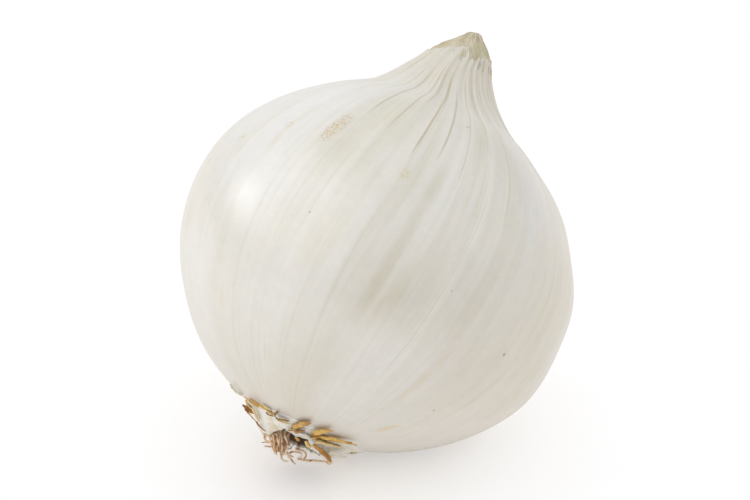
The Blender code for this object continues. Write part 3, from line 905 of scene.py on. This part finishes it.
def scrapMaterial():
    material, tree, shader = newMaterial("tornGoldenSkin", scraps["look"])
    flake = attribute(tree, "flake")
    along, across, tone = split(tree, flake)
    place = objectPlace(tree)
    blotch = grainNoise(tree, place, 420.0, 3.0, 0.6)
    fibre = grainNoise(tree, flake, (1.5, 9.0, 31.0), 3.0, 0.6)
    varied = calc(tree, "ADD", tone, between(tree, fibre, 0.35, 0.65, -0.12, 0.12))
    names = ("olive", "brown", "gold", "pale", "white")
    paint = ramp(tree, varied, [(0.25 * index, scraps[name]) for index, name in enumerate(names)])
    edge = between(tree, calc(tree, "ABSOLUTE", across), 0.6, 1.0)
    dirty = between(tree, tone, 0.95, 0.55)
    stain = times(tree, between(tree, blotch, 0.46, 0.66, 0.0, 0.7), dirty)
    paint = tint(tree, stain, paint, scraps["brown"])
    rim = times(tree, edge, between(tree, blotch, 0.3, 0.6, 0.1, 0.8), dirty)
    paint = tint(tree, rim, paint, scraps["olive"])
    dress(tree, shader, paint, ((fibre, 0.5, 0.25),))
    return material


# Dried roots: the paths of the solid's roots and thinner ones between them, swept by a node tree

roots = {
    "floor": -39.9,  # height that they grow from
    "hollow": -42.4,  # height that the strays are placed from
    "crown": ((-2.0, 4.15), (0.95, -1.5), (-3.3, -2.3)),  # centre, and half its size along and across
    "hang": (0.36, -0.50, -0.80),  # the way they droop
    "step": 0.8,
    "bends": 15,  # points along each, and sides round it
    "sides": 7,
    "grain": 420.0,
    # piece, how many, seed of their paths, thickness, seed of the wobble
    "kinds": (("driedRoots", 30, 5, 0.3, 3.0), ("fineRoots", 44, 17, 0.15, 8.0)),
    "light": colour(255, 238, 212),
    "brown": colour(250, 214, 174),
    "deep": colour(188, 138, 96),
    "look": {"Roughness": 0.75, "Specular IOR Level": 0.3},
    # strands that lie apart, as the camera sees them: right, up and towards it from the hollow's middle
    "strays": (
        ((-6.3, 1.7, 3.0), (-7.0, 1.35, 3.1), (-7.2, 0.45, 3.2), (-6.9, -0.2, 3.2)),
        ((-7.0, 1.8, 2.4), (-6.5, 1.35, 2.7), (-5.9, -0.6, 2.8), (-5.5, -2.25, 2.6)),
        ((-6.0, 2.0, 2.6), (-5.5, 1.35, 3.0), (-5.3, -0.6, 3.0), (-5.0, -2.25, 2.8), (-4.8, -2.9, 2.6)),
        ((-5.0, 1.8, 3.0), (-4.7, 1.35, 3.2), (-4.3, -0.6, 3.1), (-4.05, -2.5, 2.8)),
        ((-3.8, 1.6, 3.2), (-3.6, 1.0, 3.4), (-3.6, -1.1, 3.3), (-3.1, -2.8, 3.0)),
        ((-3.0, 1.35, 3.4), (-2.8, 0.9, 3.6), (-2.25, -0.6, 3.5), (-2.5, -2.0, 3.3), (-2.9, -2.6, 3.1)),
        ((-3.8, -2.25, 2.6), (-3.7, -3.6, 2.6), (-3.15, -4.2, 2.4), (-2.4, -4.3, 2.2)),
        ((-2.9, -1.8, 2.8), (-2.5, -2.8, 2.8), (-1.4, -4.3, 2.6), (-0.5, -5.1, 2.4)),
        (
            (-2.25, -3.3, 2.5), (-1.9, -2.6, 2.6), (-1.2, -2.3, 2.6),
            (0.2, -2.5, 2.5), (0.75, -3.3, 2.4), (-0.1, -3.9, 2.3),
        ),
        ((-0.7, -1.6, 2.0), (0.7, -2.0, 2.1), (1.4, -2.5, 2.1), (1.6, -3.6, 2.0), (0.75, -4.4, 1.9)),
        ((-0.2, -3.8, 1.4), (1.3, -4.3, 1.3), (3.4, -4.5, 1.1), (5.6, -4.6, 1.0), (6.75, -4.6, 1.0)),
        (
            (6.3, -3.9, 1.0), (6.9, -4.2, 1.3), (7.2, -4.8, 1.0),
            (6.8, -5.2, 0.7), (6.2, -4.8, 1.0), (6.5, -4.2, 1.3),
        ),
    ),
}


def fromEye(turn, spot):  # along the camera's own directions, seen from the bulb
    return lay.to_3x3().inverted() @ (turn @ Vector(spot))


def rootPath(index, count, draw, curlySide):
    share, angle = (index + 0.5) / count, index * pi * (3.0 - sqrt(5.0))
    centre, half, deep = (Vector((*entry, 0.0)) for entry in roots["crown"])
    out = heading(angle)
    place = centre + (half * out.x + deep * out.y) * sqrt(share)
    place.z = roots["floor"]
    curly = smooth(draw.random() + 0.35 * out.dot(curlySide), 0.5, 0.9)
    course = (Vector((0.0, 0.0, -1.0)) + out * draw.uniform(-0.05, 0.2)).normalized()
    spin = Vector((draw.uniform(-1, 1), draw.uniform(-1, 1), draw.uniform(-0.4, 0.4))).normalized()
    bend = radians(draw.uniform(2, 9) + curly * draw.uniform(12, 34))
    points = [place.copy()]
    for step in range(draw.randint(6, 9) + round(3 * curly)):
        place = place + course * roots["step"]
        if (lay @ (place * mm)).z < 0.6 * mm:
            break
        points.append(place.copy())
        course = (course + Vector(roots["hang"]) * 0.22 * (1.0 - curly)).normalized()
        if step > 3:
            course = Matrix.Rotation(bend, 3, spin) @ course
    return points


def rootTree(material):
    tree = bpy.data.node_groups.new("sweptRoots", "GeometryNodeTree")
    for way in ("INPUT", "OUTPUT"):
        tree.interface.new_socket("Geometry", in_out=way, socket_type="NodeSocketGeometry")
    sizes = {}
    for name in ("Thickness", "Taper", "Wobble", "Seed"):
        socket = tree.interface.new_socket(name, in_out="INPUT", socket_type="NodeSocketFloat")
        sizes[name] = socket.identifier
    given = put(tree, "NodeGroupInput").outputs
    along = put(tree, "GeometryNodeSplineParameter").outputs["Factor"]
    even = put(tree, "GeometryNodeResampleCurve", {"Curve": given["Geometry"], "Count": roots["bends"]})
    inputs = {"Vector": put(tree, "GeometryNodeInputPosition"), "W": given["Seed"], "Scale": roots["grain"]}
    grain = put(tree, "ShaderNodeTexNoise", inputs, noise_dimensions="4D").outputs
    centred = vectorCalc(tree, "SUBTRACT", grain["Color"], (0.5, 0.5, 0.5))
    inputs = {0: centred, "Scale": times(tree, along, given["Wobble"], 2.0)}
    offset = put(tree, "ShaderNodeVectorMath", inputs, operation="SCALE")
    shifted = put(tree, "GeometryNodeSetPosition", {"Geometry": even, "Offset": offset})
    pick = put(tree, "FunctionNodeRandomValue", {"Seed": given["Seed"]}).outputs[1]
    inputs = {"Geometry": shifted, "Name": "strand", "Value": pick}
    strand = put(tree, "GeometryNodeStoreNamedAttribute", inputs, data_type="FLOAT", domain="CURVE")
    slim = calc(tree, "SUBTRACT", 1.0, times(tree, along, given["Taper"]))
    knotty = scaled(tree, grain["Fac"], 0.7, 0.65)
    thickness = times(tree, slim, knotty, given["Thickness"])
    ring = put(tree, "GeometryNodeCurvePrimitiveCircle", {"Resolution": roots["sides"], "Radius": 1.0})
    inputs = {"Curve": strand, "Profile Curve": ring, "Scale": thickness, "Fill Caps": True}
    sweep = put(tree, "GeometryNodeCurveToMesh", inputs)
    realized = put(tree, "GeometryNodeRealizeInstances", {"Geometry": sweep})
    painted = put(tree, "GeometryNodeSetMaterial", {"Geometry": realized, "Material": material})
    put(tree, "NodeGroupOutput", {"Geometry": painted})
    return tree, sizes


def sweptRoots(name, paths, material, values):
    curve = bpy.data.curves.new(name, "CURVE")
    curve.dimensions = "3D"
    for points in paths:
        spline = curve.splines.new("POLY")
        line = smoothLine(points)
        spline.points.add(len(line) - 1)
        for entry, place in zip(spline.points, line):
            entry.co = (*(lay @ (place * mm)), 1.0)
    obj = addPiece(name, curve)
    tree, sizes = rootTree(material)
    modifier = obj.modifiers.new("Sweep", "NODES")
    modifier.node_group = tree
    for key, value in values.items():
        modifier[sizes[key]] = value
    obj = plainMesh(obj)
    obj.data.shade_smooth()
    return obj


def smoothLine(points):
    line = []
    for i in range(len(points) - 1):
        before, after = points[max(i - 1, 0)], points[min(i + 2, len(points) - 1)]
        a, b = points[i] + (points[i + 1] - before) / 6.0, points[i + 1] - (after - points[i]) / 6.0
        line += interpolate_bezier(points[i], a, b, points[i + 1], 5)[:-1]
    return line + [points[-1]]


def rootMaterial():
    material, tree, shader = newMaterial("driedRootFibre", roots["look"])
    place = objectPlace(tree)
    mottle = grainNoise(tree, place, 700.0, 3.0)
    paint = tint(tree, attribute(tree, "strand", "Fac"), roots["brown"], roots["light"])
    paint = tint(tree, between(tree, mottle, 0.42, 0.66), paint, roots["deep"])
    dress(tree, shader, paint, ((grainNoise(tree, place, 2600.0), 0.5, 0.1),))
    return material


def makeRoots(turn):
    material = rootMaterial()
    curlySide = fromEye(turn, (1.0, 0.0, 0.0)).normalized()
    hollow = Vector((0.0, 0.0, roots["hollow"]))
    strays = [[hollow + fromEye(turn, spot) for spot in path] for path in roots["strays"]]
    for name, count, pathSeed, thickness, seed in roots["kinds"]:
        draw = random.Random(pathSeed)
        paths = [rootPath(i, count, draw, curlySide) for i in range(count)] + strays
        strays = []
        sizes = {"Thickness": thickness * mm, "Seed": seed, "Taper": 0.45, "Wobble": 0.5 * mm}
        finishPiece(sweptRoots(name, paths, material, sizes), material, "root_tuft")


# Table, light and camera

view = {
    "azimuth": -51.0,
    "elevation": 25.0,
    "distance": 0.469,
    "lens": 100.0,
    "centre": (0.0, 0.0, 2.5),  # mm on the bulb's axis
    "width": 750,  # pixels
    "shift": (-4.5, 7.0),  # pixels
}


def makeCamera():
    azimuth, elevation = radians(view["azimuth"]), radians(view["elevation"])
    level = cos(elevation)
    look = Vector((-sin(azimuth) * level, cos(azimuth) * level, -sin(elevation)))
    turn = look.to_track_quat("-Z", "Y")
    data = bpy.data.cameras.new("photoCamera")
    data.lens, data.sensor_width = view["lens"], 36.0
    camera = addPiece("photoCamera", data)
    pixel = 36.0 / view["lens"] * view["distance"] / view["width"]
    target = lay @ (Vector(view["centre"]) * mm)
    camera.location = target - look * view["distance"] + turn @ Vector((*view["shift"], 0.0)) * pixel
    camera.rotation_euler = turn.to_euler()
    bpy.context.scene.camera = camera
    return turn, target


coolWhite = (0.965, 0.985, 1.0)
lights = {
    # direction as the camera sees it: right, up, towards the camera; then distance, size, power, shape
    "lamp": ((-0.883, 0.469, -0.05), 1.1, (0.15, 0.21), 0.6, "ELLIPSE"),
    "softbox": ((-0.68, 0.55, 0.48), 1.1, (1.5, 1.3), 4.55, "RECTANGLE"),
    "fill": ((0.85, 0.45, 0.1), 1.2, (1.1, 1.1), 1.1, "RECTANGLE"),
}


def makeLights(turn, target):
    for name, (direction, distance, size, power, shape) in lights.items():
        data = bpy.data.lights.new(name, "AREA")
        data.shape, data.energy, data.color = shape, power, coolWhite
        data.size, data.size_y = size
        lamp = addPiece(name, data)
        away = turn @ Vector(direction).normalized()
        lamp.location = target + away * distance
        lamp.rotation_euler = (-away).to_track_quat("-Z", "Y").to_euler()


room = {
    "low": 0.36,  # how bright near the table and overhead
    "high": 0.78,
    "backdrop": 0.8,  # a pale wall behind
}
# Overexposed, as in the picture: the camera sees a paler shadow than the one that lights the bulb
table = {
    "half": 3.0,
    "seen": (0.94, 0.955, 0.975, 1.0),
    "unseen": (0.93, 0.89, 0.83, 1.0),
    "unseenGlow": 0.45,
    "look": {"Roughness": 0.8, "Specular IOR Level": 0.2, "Emission Color": (0.30, 0.292, 0.29, 1.0)},
}


def cameraRay(tree):
    return put(tree, "ShaderNodeLightPath").outputs["Is Camera Ray"]


def makeRoom():
    world = bpy.data.worlds.new("whiteRoom")
    world.use_nodes = True
    bpy.context.scene.world = world
    tree = world.node_tree
    background = tree.nodes["Background"]
    background.inputs["Color"].default_value = (1.0, 1.0, 1.0, 1.0)
    azimuth = radians(view["azimuth"])
    direction = put(tree, "ShaderNodeTexCoord").outputs["Generated"]
    behind = vectorCalc(tree, "DOT_PRODUCT", direction, (-sin(azimuth), cos(azimuth), 0.0))
    lit = between(tree, split(tree, direction)[2], 0.05, 0.55, room["low"], room["high"])
    lit = calc(tree, "MAXIMUM", lit, between(tree, behind, 0.4, 0.95, 0.0, room["backdrop"]))
    feed(tree, background.inputs["Strength"], calc(tree, "MAXIMUM", cameraRay(tree), lit))


def makeTable():
    mesh = bpy.data.meshes.new("whiteTable")
    half = table["half"]
    corners = [(-half, -half, 0), (half, -half, 0), (half, half, 0), (-half, half, 0)]
    mesh.from_pydata(corners, [], [(0, 1, 2, 3)])
    top = addPiece("whiteTable", mesh)
    material, tree, shader = newMaterial("whiteTableTop", table["look"])
    seen = cameraRay(tree)
    feed(tree, shader.inputs["Base Color"], tint(tree, seen, table["unseen"], table["seen"]))
    glow = scaled(tree, seen, 1.0 - table["unseenGlow"], table["unseenGlow"])
    feed(tree, shader.inputs["Emission Strength"], glow)
    mesh.materials.append(material)
    spared = bpy.data.collections.new("notLitBySoftbox")
    spared.objects.link(top)
    spared.collection_objects[0].light_linking.link_state = "EXCLUDE"
    bpy.data.objects["softbox"].light_linking.receiver_collection = spared


turn, target = makeCamera()
print("camera set")
makeLights(turn, target)
makeRoom()
makeTable()
bpy.context.scene.view_settings.view_transform = "Standard"
print("table and lights set")
finishPiece(makeSkin(), skinMaterial(), "bulb")
print("white skin made")
finishPiece(makeTip(), tipMaterial(), "bulb")
finishPiece(makePlate(), plateMaterial(), "bulb")
print("dried tip and root plate made")
finishPiece(makeScraps(), scrapMaterial(), "torn_skin")
print("torn golden skin made")
makeRoots(turn)
print("dried roots made")
